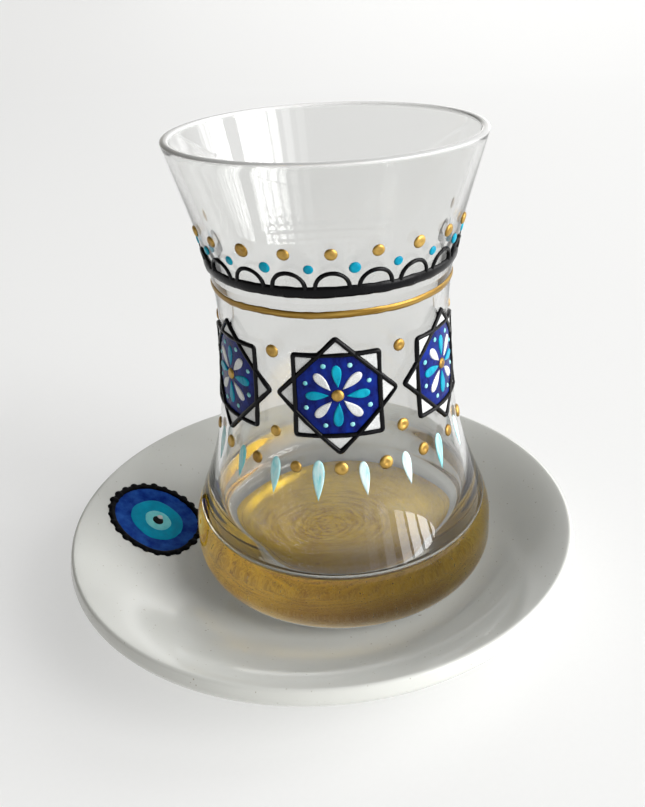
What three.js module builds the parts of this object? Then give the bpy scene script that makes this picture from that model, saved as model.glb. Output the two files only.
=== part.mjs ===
// A waisted tea glass with raised painted ornament, standing loose on a porcelain saucer.
// Millimetres, +Z up. The origin is the middle of the saucer's foot ring, on the table.
import * as THREE from "three";
import { mergeGeometries, mergeVertices } from "three/addons/utils/BufferGeometryUtils.js";

// Saucer: a thick-lipped dish on a foot ring.
const saucerDiameter = 111.6;
const saucerThickness = 4.1;
const saucerRise = 10.1; // top of the lip above the floor
const saucerLipThickness = 4.2; // the round lip, top to bottom
const saucerFootDiameter = 64;
const saucerFootWidth = 4;
const saucerFootHeight = 2.4;
const saucerFootDraft = 0.6; // slope of the foot ring's sides
const seatMargin = 0.7; // flat floor left round the glass where it stands nearest the flank

// Glass: a heavy base, a full bulge, a waist and a flared mouth. Heights are above its own foot.
const glassOffset = 5; // the glass stands this far to the right of the saucer's middle
const glassHeight = 96.6;
const rimDiameter = 64;
const rimThickness = 1.7;
const rimLean = 0.29; // how far the wall leans out at the mouth, per millimetre of height
const waistDiameter = 47.8;
const waistHeight = 57;
const waistWall = 2.3;
const bulgeDiameter = 65.7;
const bulgeHeight = 10.5; // where the straight part of the bulge ends
const heelRadius = 7;
const baseThickness = 10.8;
const bowlDiameter = 54.6; // the widest place inside
const bowlHeight = 17; // height of that place
const bowlFillet = 1.5;
const recessDiameter = 49.4;
const recessDepth = 1;
const recessDraft = 0.4;

// Paint: everything on the glass and the saucer is laid on, so each piece is a thin curved plate.
const paintGap = 0.15; // clearance between a plate and the facets under it
const outlinePaint = 0.5; // thickness of the raised outlines
const fillPaint = 0.3; // thickness of the coloured fills
const goldPaint = 0.4; // thickness of the gold coat in the recess
const goldMargin = 0.3; // bare glass between the gold coat and the side of the recess
const facetRound = 4.2; // longest reach of a wrapped plate's edge, across the face
const facetUp = 6; // and up it

// The ornament on the front of the glass, from the star frieze up. The back stays clear.
const fullStarCount = 6; // as many stars as would go right round
const starCount = 3; // as many as are painted
const starHeight = 50.5; // middle of the frieze
const starGap = 0.5; // between the tips of two neighbours
const starLine = 1.1; // width of the outline
const starWindowEdge = 0.35; // extra width of the outline round the window in each tip
const fillGap = 0.2; // bare line between an outline and the fill inside it
const stripeGap = 3.4; // from the tips of the stars up to the gold stripe
const stripeWidth = 1.5;
const stripeTurn = 168; // degrees of the wall that the stripe covers
const borderGap = 2.8; // from the gold stripe up to the black border
const borderWidth = 2.3;
const fullArchCount = 20; // as many arches as would go right round
const archCount = 11; // as many as are painted
const archGap = 1.0; // between the feet of two arches
const archLine = 0.8;

// The roundel on the saucer: rings of colour round a pupil, inside a scalloped edge.
const roundelDiameter = 23.6; // over the scallops
const roundelInset = 4.5; // from the saucer's outside to the roundel
const roundelAngle = 168; // degrees round from +X
const scallopCount = 28;
const scallopDepth = 0.55;
const roundelEdge = 1.3; // width of the scalloped edge
const roundelTurquoise = 12.6;
const roundelPale = 6.2;
const roundelPupil = 2.5;

// Facets round each turned piece, and along each curve of a profile.
const turns = 56;
const bodySteps = 10;
const neckSteps = 6;
const insideSteps = 5;
const flankSteps = 6;
const cornerSteps = 4;
const ringSides = 32;

const saucerRadius = saucerDiameter / 2;
const rimRadius = rimDiameter / 2;
const waistRadius = waistDiameter / 2;
const bulgeRadius = bulgeDiameter / 2;
const bowlRadius = bowlDiameter / 2;
const recessRadius = recessDiameter / 2;
const footRadius = bulgeRadius - heelRadius;
const floorHeight = saucerFootHeight + saucerThickness;
const floorRadius = glassOffset + footRadius + seatMargin;

const glaze = new THREE.MeshStandardMaterial({ color: 0xe9e8e2, roughness: 0.15 });
const clearGlass = new THREE.MeshStandardMaterial({
  color: 0xe4eae8,
  roughness: 0.03,
  transparent: true,
  opacity: 0.35,
});
const gold = new THREE.MeshStandardMaterial({ color: 0xb08a30, roughness: 0.35, metalness: 0.9 });
const black = new THREE.MeshStandardMaterial({ color: 0x0b0c14, roughness: 0.2 });
const cobalt = new THREE.MeshStandardMaterial({ color: 0x12307c, roughness: 0.25 });
const turquoise = new THREE.MeshStandardMaterial({ color: 0x1288a0, roughness: 0.3 });
const paleTurquoise = new THREE.MeshStandardMaterial({ color: 0x8fd0d2, roughness: 0.3 });

const part = new THREE.Group();
const glass = new THREE.Group();
glass.position.set(glassOffset, 0, floorHeight);
part.add(glass);

function place(group, name, geometry, material) {
  const mesh = new THREE.Mesh(geometry, material);
  mesh.name = name;
  group.add(mesh);
}

// Profiles: points are (distance from the axis, height), turned about the Z axis.
const at = (radius, height) => new THREE.Vector2(radius, height);

function turned(profile) {
  const distinct = profile.filter((p, i) => i === 0 || p.distanceTo(profile[i - 1]) > 1e-6);
  return new THREE.LatheGeometry(distinct, turns).rotateX(Math.PI / 2);
}

function arc(radius, height, size, fromDegrees, toDegrees, steps = cornerSteps) {
  const from = THREE.MathUtils.degToRad(fromDegrees);
  const to = THREE.MathUtils.degToRad(toDegrees);
  return new THREE.EllipseCurve(radius, height, size, size, from, to, to < from).getPoints(steps);
}

// The curve from the bulge up to the waist leaves the bulge upright and arrives upright.
function bodyCurve(low, high) {
  const rise = high.y - low.y;
  const fullness = at(0.17, 0.68);
  return new THREE.CubicBezierCurve(
    low,
    at(low.x, low.y + fullness.x * rise),
    at(high.x, high.y - fullness.y * rise),
    high,
  );
}

// The curve from the waist up to the mouth leaves the waist upright and leans out at the top.
function neckCurve(low, high) {
  const rise = high.y - low.y;
  const fullness = at(0.33, 0.44);
  return new THREE.CubicBezierCurve(
    low,
    at(low.x, low.y + fullness.x * rise),
    at(high.x - rimLean * fullness.y * rise, high.y - fullness.y * rise),
    high,
  );
}

const rimRound = rimThickness / 2;
const rimSeat = glassHeight - rimRound;
const outerBody = bodyCurve(at(bulgeRadius, bulgeHeight), at(waistRadius, waistHeight));
const outerNeck = neckCurve(at(waistRadius, waistHeight), at(rimRadius, rimSeat));
const innerWaist = at(waistRadius - waistWall, waistHeight);
const innerBody = bodyCurve(at(bowlRadius, bowlHeight), innerWaist);
const innerNeck = neckCurve(innerWaist, at(rimRadius - rimThickness, rimSeat));

function teaGlass() {
  const floorFillet = Math.min(bowlFillet, bowlHeight - baseThickness);
  return turned([
    at(0, recessDepth),
    at(recessRadius, recessDepth),
    at(recessRadius + recessDraft, 0),
    ...arc(footRadius, heelRadius, heelRadius, -90, 0),
    ...outerBody.getSpacedPoints(bodySteps),
    ...outerNeck.getSpacedPoints(neckSteps),
    ...arc(rimRadius - rimRound, rimSeat, rimRound, 0, 180),
    ...innerNeck.getSpacedPoints(insideSteps).reverse(),
    ...innerBody.getSpacedPoints(insideSteps).reverse(),
    ...arc(bowlRadius - floorFillet, baseThickness + floorFillet, floorFillet, 0, -90),
    at(0, baseThickness),
  ]);
}

function goldBaseCoat() {
  const edge = recessRadius - goldMargin;
  const under = recessDepth - goldPaint;
  return turned([at(0, under), at(edge, under), at(edge, recessDepth), at(0, recessDepth)]);
}

// The saucer's upper face between the lip and the flat floor.
const lipRound = saucerLipThickness / 2;
const lipMiddle = at(saucerRadius - lipRound, floorHeight + saucerRise - lipRound);
const lipTop = at(lipMiddle.x, lipMiddle.y + lipRound);
const flankWidth = lipTop.x - floorRadius;
const flankFromFloor = 0.32; // share of the width over which the flank leaves the flat floor
const flankToLip = at(0.4, 0.32); // shares of the width and rise over which it straightens to the lip
const upperFlank = new THREE.CubicBezierCurve(
  at(floorRadius, floorHeight),
  at(floorRadius + flankFromFloor * flankWidth, floorHeight),
  at(lipTop.x - flankToLip.x * flankWidth, lipTop.y - flankToLip.y * saucerRise),
  lipTop,
);

function saucer() {
  const footRadiusOut = saucerFootDiameter / 2;
  const footRadiusIn = footRadiusOut - saucerFootWidth;
  const underLip = arc(lipMiddle.x, lipMiddle.y, lipRound, -70, 90, cornerSteps + 2);
  const underWidth = underLip[0].x - footRadiusOut;
  const underRise = underLip[0].y - saucerFootHeight;
  const fromFoot = at(0.35, 0.06); // shares of the width and rise, as for the upper face
  const toLip = at(0.4, 0.42);
  const lowerFlank = new THREE.CubicBezierCurve(
    at(footRadiusOut, saucerFootHeight),
    at(footRadiusOut + fromFoot.x * underWidth, saucerFootHeight + fromFoot.y * underRise),
    at(underLip[0].x - toLip.x * underWidth, underLip[0].y - toLip.y * underRise),
    underLip[0],
  );
  return turned([
    at(0, saucerFootHeight),
    at(footRadiusIn, saucerFootHeight),
    at(footRadiusIn + saucerFootDraft, 0),
    at(footRadiusOut - saucerFootDraft, 0),
    ...lowerFlank.getSpacedPoints(flankSteps),
    ...underLip,
    ...upperFlank.getSpacedPoints(flankSteps).reverse(),
    at(0, floorHeight),
  ]);
}

// Finds a point on a curve where one coordinate, which only grows along it, has a given value.
function pointWhere(curve, axis, value) {
  let low = 0;
  let high = 1;
  for (let i = 0; i < 40; i++) {
    const middle = (low + high) / 2;
    if (curve.getPoint(middle)[axis] < value) low = middle;
    else high = middle;
  }
  return curve.getPoint(low);
}

function wallRadius(height) {
  return pointWhere(height < waistHeight ? outerBody : outerNeck, "y", height).x;
}

function saucerSurface(radius) {
  return radius < floorRadius ? floorHeight : pointWhere(upperFlank, "x", radius).y;
}

// Splits every edge that is too long to follow the curved face, on both of its triangles alike.
function refined(geometry) {
  geometry.deleteAttribute("normal");
  geometry.deleteAttribute("uv");
  const merged = mergeVertices(geometry, 1e-5);
  const source = merged.getAttribute("position");
  const points = [];
  for (let i = 0; i < source.count; i++) points.push(new THREE.Vector3().fromBufferAttribute(source, i));
  let faces = [];
  for (let i = 0; i < merged.index.count; i += 3) faces.push([0, 1, 2].map((k) => merged.index.getX(i + k)));
  let splits = new Map();
  const halfway = (a, b) => {
    const key = a < b ? `${a} ${b}` : `${b} ${a}`;
    if (!splits.has(key) && tooLong(points[a], points[b])) {
      splits.set(key, points.push(points[a].clone().lerp(points[b], 0.5)) - 1);
    }
    return splits.get(key);
  };
  do {
    splits = new Map();
    faces = faces.flatMap(([a, b, c]) => splitFace(a, b, c, halfway, points));
  } while (splits.size);
  return { points, faces };
}

function tooLong(a, b) {
  return Math.abs(a.x - b.x) > facetRound || Math.abs(a.y - b.y) > facetUp;
}

function splitFace(a, b, c, halfway, points) {
  const corners = [a, b, c];
  const middles = [halfway(a, b), halfway(b, c), halfway(c, a)];
  const cut = middles.filter((m) => m !== undefined).length;
  if (cut === 0) return [corners];
  const whole = middles.findIndex((m) => m === undefined);
  if (cut === 3) {
    const [p, q, r] = middles;
    return [[a, p, r], [p, b, q], [r, q, c], [p, q, r]];
  }
  const turn = cut === 1 ? middles.findIndex((m) => m !== undefined) : (whole + 1) % 3;
  const [x, y, z] = [0, 1, 2].map((k) => corners[(turn + k) % 3]);
  const first = middles[turn];
  if (cut === 1) return [[x, first, z], [first, y, z]];
  const second = middles[(turn + 1) % 3];
  if (points[x].distanceTo(points[second]) < points[first].distanceTo(points[z])) {
    return [[first, y, second], [x, first, second], [x, second, z]];
  }
  return [[first, y, second], [x, first, z], [first, second, z]];
}

// A flat shape made into a plate of even thickness, its points then carried onto a curved face.
function plate(shape, thickness, onto, keepFace = () => true) {
  const flat = new THREE.ExtrudeGeometry(shape, { depth: thickness, bevelEnabled: false, curveSegments: 4 });
  const { points, faces } = refined(flat);
  const kept = faces.filter((face) => keepFace(face.map((i) => points[i])));
  const carried = points.map((p) => onto(p.x, p.y, p.z));
  return new THREE.BufferGeometry()
    .setAttribute("position", new THREE.Float32BufferAttribute(carried.flatMap((p) => p.toArray()), 3))
    .setIndex(kept.flat());
}

// Onto the glass: x runs round the wall at the reference height, y runs up it.
function glassPoint(turn, height, depth) {
  const radius = wallRadius(height) + paintGap + depth;
  return new THREE.Vector3(radius * Math.cos(turn), radius * Math.sin(turn), height);
}

const front = -Math.PI / 2;

function ontoGlass(angle, height) {
  const reference = wallRadius(height);
  return (x, y, depth) => glassPoint(angle + x / reference, height + y, depth);
}

// The star is two square outlines, one turned by an eighth of a turn.
const starPitch = (2 * Math.PI * wallRadius(starHeight)) / fullStarCount;
const starReach = (starPitch - starGap) / 2; // middle to tip
const starSide = starReach * Math.SQRT1_2; // middle to the outside of a side
const starInside = starSide - starLine;

function polygon(path, corners) {
  path.setFromPoints(corners.map(([reach, degrees]) => {
    const angle = THREE.MathUtils.degToRad(degrees);
    return at(reach * Math.cos(angle), reach * Math.sin(angle));
  }));
  return path;
}

function octagon(path, apothem) {
  const reach = apothem / Math.cos(Math.PI / 8);
  return polygon(path, [...Array(8).keys()].map((i) => [reach, 22.5 + 45 * i]));
}

function starOutline() {
  const notch = starSide / Math.cos(Math.PI / 8);
  const corners = [...Array(8).keys()].flatMap((i) => [[starReach, 45 * i], [notch, 45 * i + 22.5]]);
  const shape = polygon(new THREE.Shape(), corners);
  shape.holes.push(octagon(new THREE.Path(), starInside));
  const sill = starSide + starWindowEdge;
  const tip = (starInside - starWindowEdge) * Math.SQRT2;
  const base = Math.hypot(sill, tip - sill);
  const spread = THREE.MathUtils.radToDeg(Math.atan2(tip - sill, sill));
  for (let i = 0; i < 8; i++) {
    const window = [[tip, 45 * i], [base, 45 * i + spread], [base, 45 * i - spread]];
    shape.holes.push(polygon(new THREE.Path(), window));
  }
  return shape;
}

const stripeBottom = starHeight + starReach + stripeGap;

function stripeShape() {
  const half = (THREE.MathUtils.degToRad(stripeTurn) * wallRadius(stripeBottom)) / 2;
  return new THREE.Shape([at(-half, 0), at(half, 0), at(half, stripeWidth), at(-half, stripeWidth)]);
}

// The border is a band with a row of small arches on it. One arch and its piece of band are
// drawn flat, and the copies are open where they meet.
const borderBottom = stripeBottom + stripeWidth + borderGap;
const archPitch = (2 * Math.PI * wallRadius(borderBottom + borderWidth)) / fullArchCount;

function archShape() {
  const archRadius = (archPitch - archGap) / 2;
  const half = archPitch / 2;
  const shape = new THREE.Shape();
  shape.moveTo(-half, 0);
  shape.lineTo(half, 0);
  shape.lineTo(half, borderWidth);
  shape.lineTo(archRadius, borderWidth);
  shape.absarc(0, borderWidth, archRadius, 0, Math.PI, false);
  shape.lineTo(-half, borderWidth);
  const window = new THREE.Path();
  window.absarc(0, borderWidth, archRadius - archLine, 0, Math.PI, false);
  shape.holes.push(window);
  return shape;
}

function archedBorder() {
  const end = archPitch / 2 - 1e-4;
  const share = (x) => (x > end ? 1 : x < -end ? 0 : x / archPitch + 0.5);
  const cells = [...Array(archCount).keys()].map((i) => {
    const turnAt = (x) => front + ((i + share(x) - archCount / 2) * 2 * Math.PI) / fullArchCount;
    const onto = (x, y, depth) => glassPoint(turnAt(x), borderBottom + y, depth);
    const onJoint = (corners, side) => corners.every((p) => side * p.x > end);
    const kept = (corners) =>
      !(i > 0 && onJoint(corners, -1)) && !(i < archCount - 1 && onJoint(corners, 1));
    return plate(archShape(), outlinePaint, onto, kept);
  });
  return mergeGeometries(cells);
}

// Onto the saucer: y runs up the flank and x across it, laid out as the cone through the middle.
const roundelRadius = roundelDiameter / 2;
const flankSlope = Math.atan2(saucerRise, flankWidth);
const roundelPlace = saucerRadius - roundelInset - roundelRadius * Math.cos(flankSlope);

function ontoSaucer(x, y, depth) {
  const slant = roundelPlace / Math.cos(flankSlope);
  const radius = Math.hypot(slant + y, x) * Math.cos(flankSlope);
  const across = Math.atan2(x, slant + y) / Math.cos(flankSlope);
  const turn = THREE.MathUtils.degToRad(roundelAngle) - across;
  const height = saucerSurface(radius) + paintGap + depth;
  return new THREE.Vector3(radius * Math.cos(turn), radius * Math.sin(turn), height);
}

function disc(path, diameter, sides) {
  return polygon(path, [...Array(sides).keys()].map((i) => [diameter / 2, (360 * i) / sides]));
}

function scallopedEdge() {
  const valley = roundelRadius - scallopDepth;
  const step = 360 / scallopCount;
  const reaches = [[valley, 0], [roundelRadius, 0.3], [roundelRadius, 0.7]];
  const corners = [...Array(scallopCount).keys()].flatMap((i) =>
    reaches.map(([reach, along]) => [reach, step * (i + along)]),
  );
  const shape = polygon(new THREE.Shape(), corners);
  shape.holes.push(disc(new THREE.Path(), roundelDiameter - 2 * roundelEdge, 2 * scallopCount));
  return shape;
}

function colourRing(outside, inside) {
  const shape = disc(new THREE.Shape(), outside, ringSides);
  if (inside) shape.holes.push(disc(new THREE.Path(), inside + 2 * fillGap, ringSides));
  return plate(shape, fillPaint, ontoSaucer);
}

place(part, "saucer", saucer(), glaze);
const roundelField = roundelDiameter - 2 * roundelEdge - 2 * fillGap;
place(part, "roundel_edge", plate(scallopedEdge(), outlinePaint, ontoSaucer), black);
place(part, "roundel_blue", colourRing(roundelField, roundelTurquoise), cobalt);
place(part, "roundel_turquoise", colourRing(roundelTurquoise, roundelPale), turquoise);
place(part, "roundel_pale", colourRing(roundelPale, roundelPupil), paleTurquoise);
place(part, "roundel_pupil", colourRing(roundelPupil), black);

place(glass, "tea_glass", teaGlass(), clearGlass);
place(glass, "gold_base_coat", goldBaseCoat(), gold);
place(glass, "gold_stripe", plate(stripeShape(), fillPaint, ontoGlass(front, stripeBottom)), gold);
place(glass, "arched_border", archedBorder(), black);
for (let i = 0; i < starCount; i++) {
  const stepsFromFront = i - (starCount - 1) / 2;
  const onto = ontoGlass(front + (stepsFromFront * 2 * Math.PI) / fullStarCount, starHeight);
  const field = octagon(new THREE.Shape(), starInside - fillGap);
  place(glass, `star_outline_${i + 1}`, plate(starOutline(), outlinePaint, onto), black);
  place(glass, `star_field_${i + 1}`, plate(field, fillPaint, onto), cobalt);
}

export default part;
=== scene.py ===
# %% [markdown]
# # A painted tea glass on its saucer
#
# The set is two loose pieces: a heavy-bottomed, waisted tea glass, and the glazed saucer that it
# stands on. The glass is clear, its base is painted gold from below, and its front carries an
# ornament in raised paint. The saucer carries one painted roundel.
#
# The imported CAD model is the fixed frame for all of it. Its solids are coarse and plain, so this
# lesson turns and paints finer pieces in the same places, and each piece replaces the solids that
# it stands for.

import math

import bmesh
import bpy
import numpy as np
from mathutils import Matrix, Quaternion, Vector, noise


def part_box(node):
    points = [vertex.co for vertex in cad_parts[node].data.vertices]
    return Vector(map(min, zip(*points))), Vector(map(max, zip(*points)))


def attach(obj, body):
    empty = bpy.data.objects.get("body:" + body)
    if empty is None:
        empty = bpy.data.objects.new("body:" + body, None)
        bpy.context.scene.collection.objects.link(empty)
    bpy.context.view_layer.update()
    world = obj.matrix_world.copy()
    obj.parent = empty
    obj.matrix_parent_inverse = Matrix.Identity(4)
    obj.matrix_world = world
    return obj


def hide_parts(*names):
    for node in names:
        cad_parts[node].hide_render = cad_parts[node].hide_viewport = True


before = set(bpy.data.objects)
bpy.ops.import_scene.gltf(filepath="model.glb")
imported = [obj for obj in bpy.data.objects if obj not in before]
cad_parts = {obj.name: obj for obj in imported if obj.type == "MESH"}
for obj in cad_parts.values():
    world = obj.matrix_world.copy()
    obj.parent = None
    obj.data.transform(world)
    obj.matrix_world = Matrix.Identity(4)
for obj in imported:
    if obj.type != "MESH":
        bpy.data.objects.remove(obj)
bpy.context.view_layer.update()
MM = 0.001


def mm(x, y, z):
    """A point given in millimetres, in Blender's metres."""
    return Vector((x, y, z)) * MM


# %% [markdown]
# ## The camera
#
# The photograph was taken close up, from a little above, so the lens and the distance matter as
# much as the angle: a near camera makes the front of the saucer large. The eye point, the aim and
# the lens were found by fitting the outlines of rim, glass and saucer. The small roll and the
# shift put the glass where it is in the picture.

# %% Camera
EYE = mm(5.0, -178.6, 135.6)
AIM = mm(5.564, 0, 68.7)
ROLL = math.radians(-2.77)
FOCAL_LENGTH, SENSOR_WIDTH = 40.88, 36
SHIFT_RIGHT, SHIFT_UP = -0.016, -0.138
NEAREST = 5 * MM


def new_object(name, data):
    made = bpy.data.objects.new(name, data)
    bpy.context.scene.collection.objects.link(made)
    return made


lens = bpy.data.cameras.new("camera")
lens.lens = FOCAL_LENGTH
lens.sensor_width = SENSOR_WIDTH
lens.shift_x = SHIFT_RIGHT
lens.shift_y = SHIFT_UP
lens.clip_start = NEAREST
camera = new_object("camera", lens)
camera.location = EYE
camera.rotation_mode = "QUATERNION"
upright = (AIM - EYE).to_track_quat("-Z", "Y")
camera.rotation_quaternion = upright @ Quaternion((0, 0, 1), ROLL)
bpy.context.scene.camera = camera
print("camera", round((AIM - EYE).length / MM), "mm from its aim")

# %% [markdown]
# ## Node helpers
#
# Every finish below is a small node tree. One helper adds a node, sets its choices and fills or
# links its inputs, and a finish is a recipe that lists what goes into its shader. Colours are given
# as they look on a screen and turned into the linear values that Blender works with. Patterns are
# laid on Object coordinates: every piece sits at the origin, so these are metres in the model's
# frame.


# %% Adding nodes
def feed(tree, node, inputs):
    """Sets each input to a value, or links it if the value is a socket."""
    for key, value in inputs.items():
        if isinstance(value, bpy.types.NodeSocket):
            tree.links.new(value, node.inputs[key])
        else:
            node.inputs[key].default_value = value


def add(tree, kind, inputs=None, **choices):
    """Adds a node, sets its choices and feeds its inputs."""
    made = tree.nodes.new(kind)
    for name, value in choices.items():
        setattr(made, name, value)
    feed(tree, made, inputs or {})
    return made


def new_finish(name, recipe):
    """A material whose shader is fed with what a recipe makes in its tree."""
    material = bpy.data.materials.new(name)
    material.use_nodes = True
    tree = material.node_tree
    feed(tree, tree.nodes["Principled BSDF"], recipe(tree))
    return material


def screen(red, green, blue):
    """A colour as it looks on a screen, 0 to 255, in linear values."""
    shares = [v / 255 for v in (red, green, blue)]
    return tuple(v / 12.92 if v <= 0.04045 else ((v + 0.055) / 1.055) ** 2.4 for v in shares) + (1,)


print("nodes ready")


# %% Numbers and vectors in nodes
def reckon(tree, operation, *numbers):
    """One step of arithmetic on numbers."""
    return add(tree, "ShaderNodeMath", dict(enumerate(numbers)), operation=operation).outputs[0]


def reckon_vector(tree, operation, *vectors, gives="Vector"):
    """One step of arithmetic on vectors. Some steps give a Value instead."""
    made = add(tree, "ShaderNodeVectorMath", dict(enumerate(vectors)), operation=operation)
    return made.outputs[gives]


def one_axis(tree, vector, axis):
    """The part of a vector along X, Y or Z."""
    return add(tree, "ShaderNodeSeparateXYZ", {0: vector}).outputs[axis]


def towards(tree, direction, aim):
    """How far a direction reaches along an aim: nothing if it is square to it."""
    return reckon_vector(tree, "DOT_PRODUCT", direction, aim.normalized(), gives="Value")


def object_place(tree):
    """Where a point of the piece is."""
    return add(tree, "ShaderNodeTexCoord").outputs["Object"]


def off_axis(tree, centre):
    """The offset from an upright line through centre, laid flat, and its length."""
    offset = reckon_vector(tree, "SUBTRACT", object_place(tree), centre)
    level = reckon_vector(tree, "MULTIPLY", offset, (1, 1, 0))
    return level, reckon_vector(tree, "LENGTH", level, gives="Value")


def spread(tree, value, low, high, to_low=0.0, to_high=1.0, eased="LINEAR"):
    """Maps a range of a value to another range, and stops at its ends."""
    inputs = {"Value": value, "From Min": low, "From Max": high, "To Min": to_low, "To Max": to_high}
    return add(tree, "ShaderNodeMapRange", inputs, interpolation_type=eased).outputs["Result"]


print("arithmetic ready")


# %% Patterns and mixes in nodes
def noise_at(tree, where, detail, roughness):
    inputs = {"Vector": where, "Scale": 1.0, "Detail": detail, "Roughness": roughness}
    return add(tree, "ShaderNodeTexNoise", inputs).outputs["Fac"]


def grain(tree, scale, detail=4.0, roughness=0.55):
    """Noise on Object coordinates. scale is the grains in a metre, in all or along each axis."""
    scales = np.ones(3) * scale
    stretched = add(tree, "ShaderNodeMapping", {"Vector": object_place(tree), "Scale": scales})
    return noise_at(tree, stretched.outputs[0], detail, roughness)


def cells(tree, scale):
    """Small cells on Object coordinates, about scale of them in a metre."""
    return add(tree, "ShaderNodeTexVoronoi", {"Vector": object_place(tree), "Scale": scale}).outputs


def mixed(tree, share, first, second):
    """Two colours mixed by a share from 0 to 1."""
    return add(tree, "ShaderNodeMix", {0: share, 6: first, 7: second}, data_type="RGBA").outputs[2]


def blended(tree, share, first, second):
    """Two numbers mixed by a share from 0 to 1."""
    return add(tree, "ShaderNodeMix", {0: share, 2: first, 3: second}).outputs[0]


def raised(tree, height, depth):
    """A normal for a small relief: depth is the height in metres of a value of 1."""
    return add(tree, "ShaderNodeBump", {"Height": height, "Distance": depth}).outputs["Normal"]


print("patterns ready")

# %% [markdown]
# ## The table and the backdrop
#
# The ground is one wide white sheet that curves up behind the set, as a paper sweep does in a
# studio, so that the picture shows no edge of it. It glows a little, which keeps it white, and it
# lies a hair under the saucer's foot, because two faces in one plane show through each other.

# %% Table and backdrop
SHEET_WIDTH, SHEET_FRONT, SHEET_DROP = 12.0, -6.0, 0.02 * MM
SHEET_BEND, SHEET_ROUND = 0.8, 0.6
SHEET_TURN, SHEET_STEPS = 50, 24
SHEET_GLOW = 0.46


def paper(tree):
    tooth = grain(tree, 900)
    return {
        "Base Color": mixed(tree, tooth, screen(173, 173, 172), screen(177, 177, 176)),
        "Normal": raised(tree, tooth, 0.01 * MM),
        "Roughness": 0.75,
        "Emission Color": (1, 1, 0.995, 1),
        "Emission Strength": SHEET_GLOW,
    }


def paper_sheet():
    side = [(SHEET_FRONT, 0.0)]
    for i in range(SHEET_STEPS + 1):
        angle = math.radians(SHEET_TURN * i / SHEET_STEPS)
        side.append((SHEET_BEND + SHEET_ROUND * math.sin(angle), SHEET_ROUND * (1 - math.cos(angle))))
    half = SHEET_WIDTH / 2
    points = [(x, y, z - SHEET_DROP) for y, z in side for x in (-half, half)]
    faces = [(2 * i, 2 * i + 1, 2 * i + 3, 2 * i + 2) for i in range(len(side) - 1)]
    mesh = bpy.data.meshes.new("sheet")
    mesh.from_pydata(points, [], faces)
    mesh.shade_smooth()
    mesh.materials.append(new_finish("pale_paper", paper))
    return mesh


sheet = new_object("sheet", paper_sheet())
print("sheet of", len(sheet.data.polygons), "strips")

# %% [markdown]
# ## Light
#
# The set is lit by daylight. Two windows stand on the right, one of them well round to the front,
# and are seen again in the inner wall of the mouth. Each is a row of tall, narrow lamps on an arc,
# because one broad lamp would be a single white patch in the glass. A wide, soft window stands
# behind, and shines in the gold under the base and in the glaze of the saucer.
#
# Glass has no colour of its own, so what it reflects and bends is its whole look. The room round it
# is bright and neutral on the right, dim and warm elsewhere, and pale along the horizon.

# %% Windows
SIDE_REACH, SIDE_HEIGHT = 1.4, 0.75
FRONT_PANES = {-70: 0.4, -58: 1.0, -46: 4.0, -37: 7.2, -28: 8.2, -19: 7.6}
RIGHT_PANES = {3: 5.6, 12: 4.0, 21: 2.0}
SIDE_PANE = (0.17, 1.5)
BACK_WINDOW = Vector((0.10, 1.05, 0.66))
BACK_AIM = Vector((-0.2, -1, -0.15))
BACK_PANES = (0.16, 0.22, 0.30, 0.38, 0.42, 0.42, 0.42, 0.38, 0.32)
BACK_FIRST, BACK_PANE = -0.3, (0.10, 1.24)


def ray(reach, angle):
    """The flat point that far out at that angle."""
    return reach * math.cos(angle), reach * math.sin(angle)


def lamp(name, where, aim, width, height, power):
    light = bpy.data.lights.new(name, "AREA")
    light.shape = "RECTANGLE"
    light.size = width
    light.size_y = height
    light.energy = power
    made = new_object(name, light)
    made.location = where
    made.rotation_mode = "QUATERNION"
    made.rotation_quaternion = (aim - where).to_track_quat("-Z", "Y")
    made.visible_camera = False


side_panes = FRONT_PANES | RIGHT_PANES
for turn, power in side_panes.items():
    where = Vector((*ray(SIDE_REACH, math.radians(turn)), SIDE_HEIGHT))
    lamp("side_pane", where, Vector((0, 0, SIDE_HEIGHT)), *SIDE_PANE, power)
for i, power in enumerate(BACK_PANES):
    where = BACK_WINDOW + Vector((BACK_FIRST + i * BACK_PANE[0], 0, 0))
    lamp("back_pane", where, where + BACK_AIM, *BACK_PANE, power)
print(len(side_panes), "panes on the right,", len(BACK_PANES), "behind")

# %% Room
BRIGHT_SIDE = Vector((0.84, -0.15, 0.52))
BRIGHT_FROM, DIM_SHARE, BRIGHT_SHARE = 0.45, 0.4, 5.0
HORIZON, CEILING, CEILING_FROM = 0.22, 0.24, 0.8
PALE_BAND, BAND_TOP = 0.55, 0.3
WARM, NEUTRAL = (1.0, 0.96, 0.85, 1), (1.0, 1.0, 1.0, 1)
WARM_TO, NEUTRAL_FROM = 0.3, 0.7


def room():
    world = bpy.data.worlds.new("room")
    world.use_nodes = True
    tree = world.node_tree
    direction = add(tree, "ShaderNodeTexCoord").outputs["Generated"]
    height = one_axis(tree, direction, "Z")
    upwards = spread(tree, height, 0.0, CEILING_FROM, HORIZON, CEILING)
    facing = towards(tree, direction, BRIGHT_SIDE)
    sideways = spread(tree, facing, BRIGHT_FROM, 1.0, DIM_SHARE, BRIGHT_SHARE, "SMOOTHSTEP")
    band = spread(tree, height, 0.0, BAND_TOP, PALE_BAND, 0.0, "SMOOTHSTEP")
    feed(tree, tree.nodes["Background"], {
        "Strength": reckon(tree, "MULTIPLY_ADD", upwards, sideways, band),
        "Color": mixed(tree, spread(tree, facing, WARM_TO, NEUTRAL_FROM), WARM, NEUTRAL),
    })
    return world


bpy.context.scene.world = room()
bpy.context.scene.view_settings.view_transform = "Standard"
print("world:", bpy.context.scene.world.name)

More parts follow.
